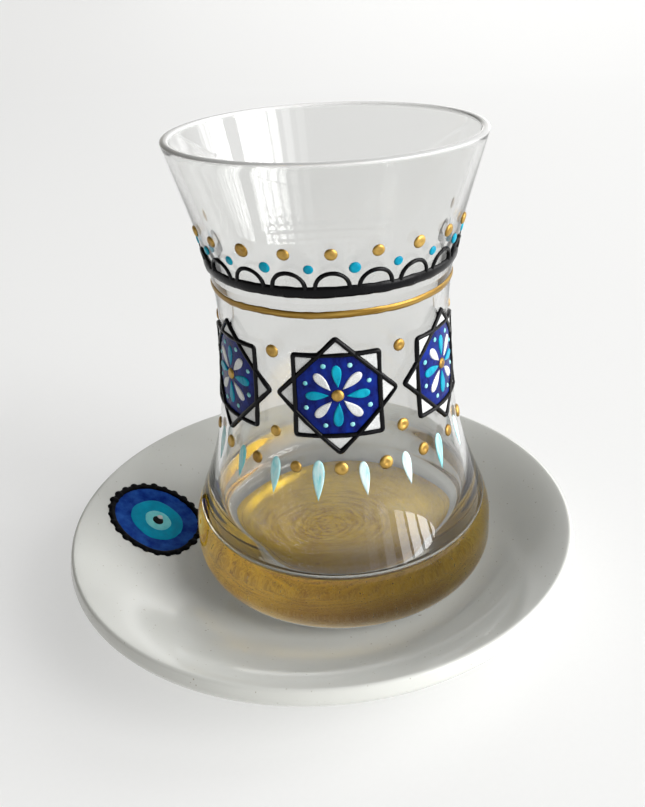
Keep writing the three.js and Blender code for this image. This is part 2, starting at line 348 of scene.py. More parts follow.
# %% [markdown]
# ## Turned shapes
#
# Glass and saucer are both round, so each is a profile turned about an upright axis. The profile
# repeats the CAD model's own curves with many more points, so that the glass bends light smoothly.
# A turned piece is closed at the axis, and its faces are then made to point outwards.


# %% Curves and turning
def bezier(start, pull_start, pull_end, end, steps):
    """Points along one cubic curve, from start to end."""
    a, b, c, d = (np.array(p, float) for p in (start, pull_start, pull_end, end))
    t = np.linspace(0, 1, steps + 1)[:, None]
    curve = (1 - t) ** 3 * a + 3 * (1 - t) ** 2 * t * b + 3 * (1 - t) * t**2 * c + t**3 * d
    return [tuple(p) for p in curve]


def arc(radius, height, size, from_degrees, to_degrees, steps):
    """Points along part of a circle of that size about (radius, height)."""
    angles = np.radians(np.linspace(from_degrees, to_degrees, steps + 1))
    return [(radius + size * math.cos(a), height + size * math.sin(a)) for a in angles]


def angles_round(count, first_degrees=0.0):
    """Evenly spaced angles of a full turn."""
    return [math.radians(first_degrees + 360 * i / count) for i in range(count)]


def polar(radius, turn, height):
    """Millimetres out from an axis, round it and up it, as metres."""
    return mm(*ray(radius, turn), height)


def turned(profile, sides, foot):
    """Turns (radius, height) points in millimetres about the upright line through foot."""
    points, rings = [], []
    for radius, height in profile:
        if radius < 1e-6:
            rings.append([len(points)] * sides)
            points.append(foot + polar(0, 0, height))
            continue
        rings.append(list(range(len(points), len(points) + sides)))
        points += [foot + polar(radius, turn, height) for turn in angles_round(sides)]
    faces = []
    for low, high in zip(rings, rings[1:]):
        for i in range(sides):
            j = (i + 1) % sides
            faces.append(tuple(dict.fromkeys((low[i], low[j], high[j], high[i]))))
    return points, faces


print("turning ready")


# %% Meshes and their place in the model
def new_mesh(name, shells, finish, crease=40):
    """Joins closed shells of (points, faces) into one mesh with its faces outwards."""
    mesh = bpy.data.meshes.new(name)
    points, faces = [], []
    for shell_points, shell_faces in shells:
        first = len(points)
        points += shell_points
        faces += [tuple(first + i for i in face) for face in shell_faces]
    mesh.from_pydata(points, [], faces)
    work = bmesh.new()
    work.from_mesh(mesh)
    bmesh.ops.remove_doubles(work, verts=work.verts, dist=1e-4 * MM)
    bmesh.ops.recalc_face_normals(work, faces=work.faces)
    work.to_mesh(mesh)
    work.free()
    mesh.shade_smooth()
    mesh.set_sharp_from_angle(angle=math.radians(crease))
    mesh.materials.append(finish)
    return mesh


def set_in(piece, body, slot, *nodes):
    """Lets a finished piece ride on a body, in place of the CAD nodes named."""
    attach(piece, body)
    if nodes:
        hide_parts(*nodes)
    print(f"{piece.name}: {len(piece.data.polygons)} faces on {body}")


def set_shells(name, shells, finish, body, slot, *nodes):
    """Makes closed shells one piece and sets it in."""
    set_in(new_object(name, new_mesh(name, shells, finish)), body, slot, *nodes)


print("meshes ready")

# %% [markdown]
# ## The saucer
#
# A thick porcelain saucer with an upright lip that ends in a small crest, dipped in a clear glossy
# glaze over a warm white body. The glaze pools a little, so its surface is never quite even, and it
# carries a few fine specks. The foot ring is wiped bare before firing. The unevenness is far too
# fine for mesh, so it is a relief in the finish.

# %% Saucer glaze
saucer_low, saucer_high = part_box("saucer")
SAUCER_FOOT = Vector((0, 0, saucer_low.z))
WIPED_TO, GLAZED_FROM = 0.25 * MM, 0.6 * MM


def glaze(tree):
    pooling = grain(tree, 60, detail=2)
    peel = grain(tree, 420, detail=2)
    specks = spread(tree, grain(tree, 1500, detail=1), 0.74, 0.80)
    body = mixed(tree, pooling, screen(206, 207, 202), screen(214, 215, 210))
    speckled = mixed(tree, specks, body, screen(160, 153, 138))
    glazed = spread(tree, one_axis(tree, object_place(tree), "Z"), WIPED_TO, GLAZED_FROM)
    gloss = spread(tree, pooling, 0.3, 0.7, 0.10, 0.16)
    return {
        "Base Color": mixed(tree, glazed, screen(188, 180, 166), speckled),
        "Roughness": blended(tree, glazed, 0.7, gloss),
        "Normal": raised(tree, peel, 0.012 * MM),
        "IOR": 1.5,
    }


white_glaze = new_finish("white_glaze", glaze)
print(white_glaze.name, len(white_glaze.node_tree.nodes), "nodes")

# %% Saucer shape
SAUCER_RADIUS = saucer_high.x / MM
FLOOR_HEIGHT, FLOOR_RADIUS = 6.5, 31.55
LIP_TOP = saucer_high.z / MM
LIP_UNDER, LIP_LEAN = 2.1, 0.33
CREST_ROUND, CREST_TURN = 0.62, 106
crest_middle = (SAUCER_RADIUS - LIP_LEAN - CREST_ROUND, LIP_TOP - CREST_ROUND)
crest = arc(*crest_middle, CREST_ROUND, 12, CREST_TURN, 8)
LIP_RADIUS, LIP_END = crest[-1]
FOOT_RING_OUT, FOOT_RING_IN, FOOT_RING_HEIGHT = 32.0, 28.0, 2.4
FOOT_DRAFT, FOOT_BEVEL = 0.6, 0.25
SAUCER_SIDES = 160

flank_width = LIP_RADIUS - FLOOR_RADIUS
flank_rise = LIP_END - FLOOR_HEIGHT
upper_flank = bezier(
    (FLOOR_RADIUS, FLOOR_HEIGHT),
    (FLOOR_RADIUS + 0.32 * flank_width, FLOOR_HEIGHT),
    (LIP_RADIUS - 0.4 * flank_width, LIP_END - 0.32 * flank_rise),
    (LIP_RADIUS, LIP_END),
    40,
)


def saucer_profile():
    """From the middle of the underside out to the lip, and back to the middle of the floor."""
    lip = arc(SAUCER_RADIUS - LIP_UNDER, LIP_TOP - LIP_UNDER, LIP_UNDER, -70, 0, 8) + crest
    width = lip[0][0] - FOOT_RING_OUT
    rise = lip[0][1] - FOOT_RING_HEIGHT
    lower_flank = bezier(
        (FOOT_RING_OUT, FOOT_RING_HEIGHT),
        (FOOT_RING_OUT + 0.35 * width, FOOT_RING_HEIGHT + 0.06 * rise),
        (lip[0][0] - 0.4 * width, lip[0][1] - 0.42 * rise),
        lip[0],
        24,
    )
    foot = [
        (0, FOOT_RING_HEIGHT),
        (FOOT_RING_IN - 0.3, FOOT_RING_HEIGHT),
        (FOOT_RING_IN, FOOT_RING_HEIGHT - 0.2),
        (FOOT_RING_IN + 0.8 * FOOT_DRAFT, FOOT_BEVEL),
        (FOOT_RING_IN + 1.3 * FOOT_DRAFT, 0),
        (FOOT_RING_OUT - 1.3 * FOOT_DRAFT, 0),
        (FOOT_RING_OUT - 0.8 * FOOT_DRAFT, FOOT_BEVEL),
        (FOOT_RING_OUT - 0.1, FOOT_RING_HEIGHT - 0.2),
    ]
    inner_floor = [(r, FLOOR_HEIGHT) for r in (24, 16, 8, 0)]
    return foot + lower_flank + lip[1:-1] + upper_flank[::-1] + inner_floor


saucer_shell = turned(saucer_profile(), SAUCER_SIDES, SAUCER_FOOT)
set_shells("saucer_dish", [saucer_shell], white_glaze, "saucer", "white_glaze", "saucer")

# %% [markdown]
# ## The glass
#
# The glass was blown into a mould and its rim melted smooth. It is one closed solid with two walls
# and a thick floor, because light has to enter and leave it as it does the real one: the gold under
# the base is seen through 10 mm of glass, and that is what fills the base with gold. A faint long
# ripple in the finish stands for the mould's unevenness. Light that enters at the rim runs down
# inside the wall and would leave the rim black, so its worn edge scatters some of it. So do faint
# dried patches on the floor of the bowl.

# %% Glass finish
glass_low, glass_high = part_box("tea_glass")
glass_middle = (glass_low + glass_high) / 2
GLASS_FOOT = Vector((glass_middle.x, glass_middle.y, glass_low.z))
FLOOR_THICKNESS = 10.8
FLOOR_HAZE, HAZE_INNER, HAZE_OUTER, HAZE_ACROSS = 0.17, 22 * MM, 27 * MM, 14 * MM
RIM_WEAR, WEAR_FROM, WEAR_TO = 0.58, 0.9 * MM, 0.3 * MM


def floor_haze(tree):
    """Dried patches on the floor of the bowl and nowhere else on the glass, fainter on the left."""
    dried = spread(tree, grain(tree, 60, detail=5), 0.42, 0.66, 0.0, FLOOR_HAZE)
    level, reach = off_axis(tree, GLASS_FOOT)
    sideways = spread(tree, one_axis(tree, level, "X"), -HAZE_ACROSS, HAZE_ACROSS, 0.3, 1.0)
    outside = spread(tree, reach, HAZE_INNER, HAZE_OUTER)
    floor_top = GLASS_FOOT.z + FLOOR_THICKNESS * MM
    height = one_axis(tree, object_place(tree), "Z")
    above = spread(tree, height, floor_top - 2 * MM, floor_top - 1 * MM)
    over = spread(tree, height, floor_top + 1 * MM, floor_top + 2 * MM)
    layer = reckon(tree, "SUBTRACT", above, over)
    on_floor = reckon(tree, "MAXIMUM", reckon(tree, "SUBTRACT", layer, outside), 0.0)
    return reckon(tree, "MULTIPLY", on_floor, reckon(tree, "MULTIPLY", dried, sideways))


def glass(tree):
    ripple = grain(tree, (45, 45, 20), detail=1)
    height = one_axis(tree, object_place(tree), "Z")
    top = glass_high.z
    unworn = spread(tree, height, top - WEAR_FROM, top - WEAR_TO, 1.0, 1 - RIM_WEAR)
    return {
        "Base Color": (0.87, 0.873, 0.865, 1),
        "Transmission Weight": reckon(tree, "SUBTRACT", unworn, floor_haze(tree)),
        "Normal": raised(tree, ripple, 0.05 * MM),
        "Roughness": 0.0,
        "IOR": 1.52,
    }


clear_glass = new_finish("clear_glass", glass)
print(clear_glass.name, "foot at", [round(v / MM, 1) for v in GLASS_FOOT])

# %% Glass wall
GLASS_HEIGHT = (glass_high.z - glass_low.z) / MM
RIM_RADIUS, RIM_HALF, RIM_ROUND = 32.0, 0.85, 0.5
RIM_SEAT = GLASS_HEIGHT - RIM_ROUND
WAIST_RADIUS, WAIST_HEIGHT, WAIST_WALL = 23.9, 57.0, 2.3
BULGE_RADIUS = (glass_high.x - glass_low.x) / 2 / MM
BULGE_HEIGHT, HEEL_ROUND = 10.5, 7.0
BODY_PULLS, NECK_PULLS, MOUTH_LEAN = (0.17, 0.68), (0.33, 0.44), 0.29


def wall_curve(low, high, pulls, lean, steps):
    """Leaves low upright and reaches high with that lean. A larger pull bends later."""
    rise = high[1] - low[1]
    pull_low = (low[0], low[1] + pulls[0] * rise)
    pull_high = (high[0] - lean * pulls[1] * rise, high[1] - pulls[1] * rise)
    return bezier(low, pull_low, pull_high, high, steps)


waist = (WAIST_RADIUS, WAIST_HEIGHT)
heel = arc(BULGE_RADIUS - HEEL_ROUND, HEEL_ROUND, HEEL_ROUND, -90, 0, 16)
outer_body = wall_curve((BULGE_RADIUS, BULGE_HEIGHT), waist, BODY_PULLS, 0, 48)
outer_neck = wall_curve(waist, (RIM_RADIUS, RIM_SEAT), NECK_PULLS, MOUTH_LEAN, 40)
outer_wall = heel + outer_body + outer_neck[1:]
print("outer wall of", len(outer_wall), "points")

# %% Glass shape
BOWL_RADIUS, BOWL_HEIGHT, BOWL_FILLET = 27.8, 17.0, 3.0
RECESS_RADIUS, RECESS_DEPTH, RECESS_DRAFT = 24.7, 1.0, 0.4
GLASS_SIDES = 192


def glass_profile():
    """From the middle of the recess up the outside to the rim, and down into the bowl."""
    inner_waist = (WAIST_RADIUS - WAIST_WALL, WAIST_HEIGHT)
    inner_rim = (RIM_RADIUS - 2 * RIM_HALF, RIM_SEAT)
    inner_neck = wall_curve(inner_waist, inner_rim, NECK_PULLS, MOUTH_LEAN, 40)
    inner_body = wall_curve((BOWL_RADIUS, BOWL_HEIGHT), inner_waist, BODY_PULLS, 0, 40)
    fillet_height = FLOOR_THICKNESS + BOWL_FILLET
    fillet = arc(BOWL_RADIUS - BOWL_FILLET, fillet_height, BOWL_FILLET, 0, -90, 14)
    recess = [(0, RECESS_DEPTH), (RECESS_RADIUS, RECESS_DEPTH), (RECESS_RADIUS + RECESS_DRAFT, 0)]
    rim_arc = arc(0, 0, 1, 0, 180, 14)
    rim = [(RIM_RADIUS - RIM_HALF + RIM_HALF * x, RIM_SEAT + RIM_ROUND * y) for x, y in rim_arc]
    floor = [(r, FLOOR_THICKNESS) for r in (20, 14, 7, 0)]
    inside = inner_neck[::-1][1:] + inner_body[::-1][1:] + fillet + floor
    return recess + outer_wall + rim[1:] + inside


glass_shell = turned(glass_profile(), GLASS_SIDES, GLASS_FOOT)
set_shells("glass_body", [glass_shell], clear_glass, "tea_glass", "clear_glass", "tea_glass")

# %% [markdown]
# ## The gold base
#
# The recess under the glass was brushed with metallic gold paint, which is seen from above through
# the floor and from the side through the bulge. The glass was turned under the brush, so the marks
# are arcs about a point near the middle, and they blur towards the edge. Every fine flake of the
# paint has its own brightness. Towards the front the gold is painted darker and deeper in colour, a
# painted shade on that side of the base. The paint touches the glass, with no air that would mirror
# the room between them, so the film lies a hair's breadth inside the surface. It ends where the heel
# starts to curve up.

# %% Gold finish
BRUSH_CENTRE = GLASS_FOOT + mm(-3.5, -2.0, 0)
STROKES_ACROSS, STROKES_ROUND, STROKES_WANDER = 1250, 1.5, 5.0
CLEAR_TO, BLURRED_FROM, BLURRED_SHARE = 10 * MM, 20 * MM, 0.4
FLAKES_PER_METRE = 5000.0
SHADED_SIDE = Vector((0.3, -1, 0))
SHADE_FROM, SHADE_FULL, SHADE_SHARE = 5 * MM, 22 * MM, 0.9


def arc_strokes(tree, wander):
    """Noise drawn out along arcs about the centre of the brushing, blurred towards the edge."""
    level, reach = off_axis(tree, BRUSH_CENTRE)
    turn = reckon(tree, "ARCTAN2", one_axis(tree, level, "Y"), one_axis(tree, level, "X"))
    drift = reckon(tree, "MULTIPLY", wander, STROKES_WANDER)
    across = reckon(tree, "MULTIPLY_ADD", reach, STROKES_ACROSS, drift)
    along = reckon(tree, "MULTIPLY", turn, STROKES_ROUND)
    laid = add(tree, "ShaderNodeCombineXYZ", {"X": across, "Y": along}).outputs[0]
    clear = spread(tree, reach, CLEAR_TO, BLURRED_FROM, 1.0, BLURRED_SHARE)
    return blended(tree, clear, 0.5, noise_at(tree, laid, 4.0, 0.6))


def brushed_gold(tree):
    patches = grain(tree, (110, 80, 80), detail=6, roughness=0.68)
    strokes = arc_strokes(tree, patches)
    flakes = one_axis(tree, cells(tree, FLAKES_PER_METRE)["Color"], "X")
    tone = spread(tree, reckon(tree, "MULTIPLY_ADD", patches, 0.8, strokes), 0.67, 1.04)
    brushed = mixed(tree, tone, screen(182, 128, 4), screen(255, 212, 44))
    flaked = mixed(tree, spread(tree, flakes, 0.4, 1.0, 0, 0.65), brushed, screen(255, 219, 62))
    # Painted shade: the gold turns darker and deeper in colour towards the front side of the base.
    ahead = towards(tree, off_axis(tree, GLASS_FOOT)[0], SHADED_SIDE)
    painted_shade = spread(tree, ahead, SHADE_FROM, SHADE_FULL, 0, SHADE_SHARE)
    return {
        "Base Color": mixed(tree, painted_shade, flaked, screen(136, 98, 4)),
        "Roughness": spread(tree, flakes, 0.0, 1.0, 0.52, 0.27),
        "Normal": raised(tree, strokes, 0.02 * MM),
        "Metallic": 1.0,
    }


base_gold = new_finish("base_gold", brushed_gold)
print(base_gold.name, len(base_gold.node_tree.nodes), "nodes")

# %% Gold film
FILM_TOP, FILM_UNDER = 0.07, 0.015
HEEL_PAINTED = 10


def film_side(depth):
    """The underside of the glass from its middle out to the heel, moved into the glass by depth."""
    recess = [
        (0, RECESS_DEPTH + depth),
        (RECESS_RADIUS + depth, RECESS_DEPTH + depth),
        (RECESS_RADIUS + RECESS_DRAFT + depth, depth),
    ]
    heel_radius, heel_size = BULGE_RADIUS - HEEL_ROUND, HEEL_ROUND - depth
    return recess + arc(heel_radius, HEEL_ROUND, heel_size, -90, HEEL_PAINTED - 90, 6)


film_profile = film_side(FILM_TOP) + film_side(FILM_UNDER)[::-1]
film_shell = turned(film_profile, GLASS_SIDES, GLASS_FOOT)
set_shells("gold_coat", [film_shell], base_gold, "tea_glass", "gold_paint", "gold_base_coat")

# %% [markdown]
# ## Paint on the wall of the glass
#
# The ornament was drawn with a tube of contour paint, which leaves raised lines, and the fields
# between them were filled with a brush. Each line and fill is drawn flat here, in millimetres, and
# carried onto the wall: x runs round it, y up it, and lift out of it. Every shell is a little sunk
# into the glass, as paint that wets it.

# %% Places on the wall
FRONT = -math.pi / 2
SUNK = 0.05
NEAR = 0.2
wall = np.array(outer_wall)


def wall_radius(height):
    return float(np.interp(height, wall[:, 1], wall[:, 0]))


def on_wall(turn, height, lift):
    """The point at that turn and height, lifted along the wall's own normal."""
    lean = (wall_radius(height + NEAR) - wall_radius(height - NEAR)) / (2 * NEAR)
    out = lift / math.hypot(1, lean)
    return GLASS_FOOT + polar(wall_radius(height) + out, turn, height - lean * out)


def wall_patch(turn, height):
    """Carries flat drawings onto the wall about one point of it."""
    reach = wall_radius(height)
    return lambda x, y, lift: on_wall(turn + x / reach, height + y, lift)


print("waist radius", round(wall_radius(WAIST_HEIGHT), 2), "mm")

# %% Lines
LINE_ROUNDS = 8
LINE_UNEVEN, LINE_UNEVEN_PER_MM = 0.16, 0.55


def bead_line(path, width, height, place, seed, closed=False):
    """A raised line: half round, its width wandering as a hand-held tube leaves it."""
    points = []
    for i, (x, y) in enumerate(path):
        before = path[i - 1] if closed or i else path[0]
        after = path[(i + 1) % len(path)] if closed or i < len(path) - 1 else path[-1]
        along = Vector((after[0] - before[0], after[1] - before[1])).normalized()
        uneven = 1 + LINE_UNEVEN * noise.noise(Vector((x, y, seed)) * LINE_UNEVEN_PER_MM)
        for k in range(LINE_ROUNDS + 1):
            angle = math.pi * k / LINE_ROUNDS
            side = -math.cos(angle) * width / 2 * uneven
            lift = math.sin(angle) * (height + SUNK) * uneven - SUNK
            points.append(place(x - along.y * side, y + along.x * side, lift))
    size = LINE_ROUNDS + 1
    last = len(path) if closed else len(path) - 1
    faces = []
    for i in range(last):
        a, b = i * size, ((i + 1) % len(path)) * size
        faces += [(a + k, a + (k + 1) % size, b + (k + 1) % size, b + k) for k in range(size)]
    if not closed:
        faces += [tuple(range(size)), tuple(range((len(path) - 1) * size, len(path) * size))]
    return points, faces


print("lines of", LINE_ROUNDS, "faces round")

# %% Fills
FILL_RINGS = (0.12, 0.24, 0.36, 0.48, 0.6, 0.7, 0.8, 0.88, 0.95, 0.985, 1.0)
FILL_UNEVEN, FILL_UNEVEN_PER_MM = 0.2, 0.6


def fill(outline, thickness, place, seed, sunk=SUNK):
    """A puddle of paint: nearly flat, and rounded down to the surface at its edge."""
    middle = np.mean(outline, axis=0)
    count = len(outline)
    rings = [[middle + (np.array(p) - middle) * share for p in outline] for share in FILL_RINGS]
    points = [place(*middle, thickness)]
    for share, ring in zip(FILL_RINGS, rings):
        rounded = math.sqrt(1 - share**8)
        for x, y in ring:
            uneven = 1 + FILL_UNEVEN * noise.noise(Vector((x, y, seed)) * FILL_UNEVEN_PER_MM)
            points.append(place(x, y, thickness * rounded * uneven))
    points += [place(x, y, -sunk) for ring in rings[::-1] for x, y in ring]
    points.append(place(*middle, -sunk))
    faces = [(0, 1 + i, 1 + (i + 1) % count) for i in range(count)]
    for r in range(2 * len(rings) - 1):
        a, b = 1 + r * count, 1 + (r + 1) * count
        faces += [(a + i, b + i, b + (i + 1) % count, a + (i + 1) % count) for i in range(count)]
    last, bottom = len(points) - 1 - count, len(points) - 1
    faces += [(last + i, bottom, last + (i + 1) % count) for i in range(count)]
    return points, faces


def step_towards(start, end, distance):
    return start + (end - start) / np.linalg.norm(end - start) * distance


def rounded_loop(corners, corner_round, spacing):
    """A closed path through corners, each turned on a small curve, its points spaced so."""
    path = []
    corners = [np.array(c, float) for c in corners]
    neighbours = zip(corners[-1:] + corners[:-1], corners, corners[1:] + corners[:1])
    for before, corner, after in neighbours:
        into = step_towards(corner, before, corner_round)
        out = step_towards(corner, after, corner_round)
        for t in (0, 0.25, 0.5, 0.75, 1):
            path.append(tuple((1 - t) ** 2 * into + 2 * t * (1 - t) * corner + t * t * out))
        straight = step_towards(after, corner, corner_round) - out
        steps = max(int(np.linalg.norm(straight) / spacing), 1)
        path += [tuple(out + straight * i / steps) for i in range(1, steps)]
    return path


print("fills of", len(FILL_RINGS), "rings")

# %% [markdown]
# ## Paint finishes
#
# All the paints are laid by hand, so each is two tones of its colour mixed along the brush, with an
# uneven gloss. A stretched noise gives the direction of the brush: few grains along an axis mean
# long strokes. Marks that repeat carry a number of their own, named shade, which makes some of them
# a little lighter than others. Shine is kept low where a veil of reflected room would hide the
# colour.


# %% Paint finishes
def paint_finish(name, deep, light, strokes, gloss, relief, metal=0.0, shine=0.5):
    """strokes is the scale of the grain, gloss the lowest and highest roughness."""

    def paint(tree):
        brushed = grain(tree, strokes, detail=5, roughness=0.6)
        own = add(tree, "ShaderNodeAttribute", attribute_name="shade").outputs["Fac"]
        tone = spread(tree, reckon(tree, "MULTIPLY_ADD", own, 0.3, brushed), 0.36, 0.82)
        return {
            "Base Color": mixed(tree, tone, screen(*deep), screen(*light)),
            "Roughness": spread(tree, brushed, 0.3, 0.7, *gloss),
            "Normal": raised(tree, brushed, relief * MM),
            "Metallic": metal,
            "Specular IOR Level": shine,
        }

    return new_finish(name, paint)


def frosted(tree):
    """Silvery white with a glitter in it: each small cell of it tilts its own way."""
    rise = cells(tree, 5200.0)["Distance"]
    cloud = grain(tree, 700)
    tone = mixed(tree, cloud, screen(182, 184, 184), screen(226, 227, 226))
    glitter = spread(tree, rise, 0.0, 0.5)
    return {
        "Base Color": mixed(tree, glitter, screen(244, 245, 245), tone),
        "Normal": raised(tree, rise, 0.05 * MM),
        "Roughness": 0.42,
        "Metallic": 0.25,
    }


black_relief = paint_finish(
    "black_relief", (3, 3, 5), (13, 13, 16), 260, (0.16, 0.32), 0.03, shine=0.14)
cobalt_enamel = paint_finish(
    "cobalt_enamel", (2, 8, 74), (10, 48, 152), (420, 420, 300), (0.2, 0.4), 0.03, shine=0.12)
turquoise_enamel = paint_finish(
    "turquoise_enamel", (0, 106, 142), (0, 160, 186), (500, 500, 220), (0.22, 0.4), 0.03, shine=0.15)
pale_enamel = paint_finish(
    "pale_enamel", (90, 186, 194), (160, 220, 222), 600, (0.22, 0.4), 0.02, shine=0.2)
pearl_enamel = paint_finish(
    "pearl_enamel", (92, 198, 206), (214, 232, 230), (1900, 1900, 130), (0.25, 0.42), 0.03)
bead_gold = paint_finish(
    "bead_gold", (124, 88, 26), (196, 160, 84), 700, (0.3, 0.46), 0.02, metal=0.75)
stripe_gold = paint_finish(
    "stripe_gold", (124, 90, 24), (196, 162, 82), (120, 120, 2600), (0.3, 0.46), 0.03, metal=0.75)
frosted_silver = new_finish("frosted_silver", frosted)
print("paints ready")

# %% [markdown]
# ## Marks that repeat
#
# Dots, petals and the beads round the roundel are one shape set down many times, so Geometry Nodes
# lay them. The tree takes a mesh of bare points, each with the way it faces and the way it lies,
# and sets a copy of one mark on every point, with a little spread in size and turn from a fixed
# seed. The copies are then made real and the result is kept as a plain mesh.


# %% Tree that lays marks
def random_number(tree, low, high, seed):
    return add(tree, "FunctionNodeRandomValue", {2: low, 3: high, "Seed": seed}).outputs[1]


def point_vector(tree, name):
    kind = "GeometryNodeInputNamedAttribute"
    return add(tree, kind, {"Name": name}, data_type="FLOAT_VECTOR").outputs[0]


def mark_turn(tree, turn_spread, seed):
    """Faces and lies as its point says, and is twisted a little about the way it faces."""
    axes = {0: point_vector(tree, "facing"), 1: point_vector(tree, "along")}
    lie = add(tree, "FunctionNodeAxesToRotation", axes, primary_axis="Z", secondary_axis="Y")
    angle = random_number(tree, reckon(tree, "MULTIPLY", turn_spread, -1), turn_spread, seed)
    twist = add(tree, "FunctionNodeAxisAngleToRotation", {"Axis": (0, 0, 1), "Angle": angle})
    inputs = {0: lie.outputs[0], 1: twist.outputs[0]}
    return add(tree, "FunctionNodeRotateRotation", inputs, rotation_space="LOCAL").outputs[0]


def mark_size(tree, size_spread, seed):
    small = reckon(tree, "SUBTRACT", 1, size_spread)
    large = reckon(tree, "ADD", 1, size_spread)
    return random_number(tree, small, large, reckon(tree, "ADD", seed, 1))


def laid_marks_tree():
    tree = bpy.data.node_groups.new("laid_marks", "GeometryNodeTree")
    kinds = {"Points": "Geometry", "Mark": "Object", "Size Spread": "Float", "Turn Spread": "Float"}
    kinds |= {"Seed": "Int", "Finish": "Material"}
    for name, kind in kinds.items():
        tree.interface.new_socket(name, in_out="INPUT", socket_type="NodeSocket" + kind)
    tree.interface.new_socket("Marks", in_out="OUTPUT", socket_type="NodeSocketGeometry")
    given = add(tree, "NodeGroupInput").outputs
    mark = add(tree, "GeometryNodeObjectInfo", {"Object": given["Mark"]}).outputs["Geometry"]
    copies = add(tree, "GeometryNodeInstanceOnPoints", {
        "Points": given["Points"],
        "Instance": mark,
        "Rotation": mark_turn(tree, given["Turn Spread"], given["Seed"]),
        "Scale": mark_size(tree, given["Size Spread"], given["Seed"]),
    }).outputs[0]
    kind = "GeometryNodeStoreNamedAttribute"
    inputs = {"Geometry": copies, "Name": "shade", "Value": random_number(tree, 0, 1, given["Seed"])}
    shaded = add(tree, kind, inputs, data_type="FLOAT", domain="INSTANCE").outputs[0]
    real = add(tree, "GeometryNodeRealizeInstances", {0: shaded}).outputs[0]
    painted = add(tree, "GeometryNodeSetMaterial", {"Geometry": real, "Material": given["Finish"]})
    add(tree, "NodeGroupOutput", {0: painted.outputs[0]})
    return tree


marks_tree = laid_marks_tree()
marks_sockets = [item for item in marks_tree.interface.items_tree if item.in_out == "INPUT"]
marks_inputs = {item.name: item.identifier for item in marks_sockets}
print("inputs:", ", ".join(marks_inputs))


# %% Laying marks
def place_of(place, x, y, heading, lift=0.0):
    """Where a mark goes: its point, the way it faces, and the way its own y axis lies."""
    point = place(x, y, lift)
    facing = (place(x, y, lift + 0.1) - point).normalized()
    ahead = place(x + 0.1 * math.cos(heading), y + 0.1 * math.sin(heading), lift)
    return point, facing, (ahead - point).normalized()


def points_mesh(name, places):
    """Bare points that carry the way each faces and lies."""
    mesh = bpy.data.meshes.new(name)
    mesh.from_pydata([p for p, _, _ in places], [], [])
    for attribute, column in (("facing", 1), ("along", 2)):
        values = mesh.attributes.new(attribute, "FLOAT_VECTOR", "POINT")
        values.data.foreach_set("vector", [v for row in places for v in row[column]])
    return mesh


def lay_marks(name, shell, places, finish, body, slot, seed, size_spread=0.06, turn_spread=0.1):
    """Sets a copy of a shell on every place and keeps them as one plain mesh."""
    mark = new_object(name + "_mark", new_mesh(name + "_mark", [shell], finish))
    holder = new_object(name, points_mesh(name, places))
    modifier = holder.modifiers.new("laid_marks", "NODES")
    modifier.node_group = marks_tree
    given = {"Mark": mark, "Size Spread": size_spread, "Turn Spread": turn_spread}
    given |= {"Seed": seed, "Finish": finish}
    for key, value in given.items():
        modifier[marks_inputs[key]] = value
    evaluated = holder.evaluated_get(bpy.context.evaluated_depsgraph_get())
    laid = bpy.data.meshes.new_from_object(evaluated)
    laid.name = name
    holder.modifiers.remove(modifier)
    holder.data = laid
    bpy.data.objects.remove(mark)
    set_in(holder, body, slot)


print("marks can be laid")


# %% Shapes of marks
def dot_shell(radius, height, dimple):
    """A drop of paint: a dome whose middle dries a little hollow."""
    profile = [(0, -0.12), (radius * 0.96, -0.12)]
    for share in (1.0, 0.96, 0.85, 0.66, 0.42, 0.2, 0.0):
        hollow = dimple * math.exp(-((share / 0.36) ** 2))
        profile.append((radius * share, height * math.sqrt(1 - share**2.6) - hollow))
    return turned(profile, 14, Vector())


def petal_outline(length, width, count=22):
    """A drop outline, pointed at the low end."""
    outline = []
    for a in angles_round(count):
        x = -width / 2 * math.sin(a) * math.sin(a / 2) ** 1.1
        outline.append((x, -length / 2 * math.cos(a)))
    return outline


print("a dot has", len(dot_shell(1, 1, 0)[1]), "faces")

# %% [markdown]
# ## The star frieze
#
# Three eight-pointed stars stand side by side on the waist. Each is two squares of black contour
# line, one turned by an eighth, with a cobalt octagon in the middle. The squares are drawn as two
# separate lines that cross, as a hand draws them.

# %% Star outlines and fields
STAR_HEIGHT = 50.5
STAR_PLACES, STAR_COUNT, STAR_GAP = 6, 3, 0.5
STAR_LINE, STAR_LINE_HEIGHT, STAR_CORNER, STAR_SPACING = 1.0, 0.6, 0.5, 0.7
FIELD_GAP, FIELD_THICKNESS, FIELD_CORNER, FIELD_SPACING = 0.1, 0.22, 0.4, 1.0
star_step = 2 * math.pi / STAR_PLACES
star_reach = wall_radius(STAR_HEIGHT) * star_step / 2 - STAR_GAP / 2
star_middle_line = star_reach - STAR_LINE * math.sqrt(0.5)
octagon_reach = (star_middle_line * math.sqrt(0.5) - FIELD_GAP) / math.cos(math.pi / 8)
star_turns = [FRONT + (i - (STAR_COUNT - 1) / 2) * star_step for i in range(STAR_COUNT)]
star_patches = [wall_patch(turn, STAR_HEIGHT) for turn in star_turns]


def loop_round(reach, count, first_degrees, corner_round, spacing):
    corners = [ray(reach, a) for a in angles_round(count, first_degrees)]
    return rounded_loop(corners, corner_round, spacing)


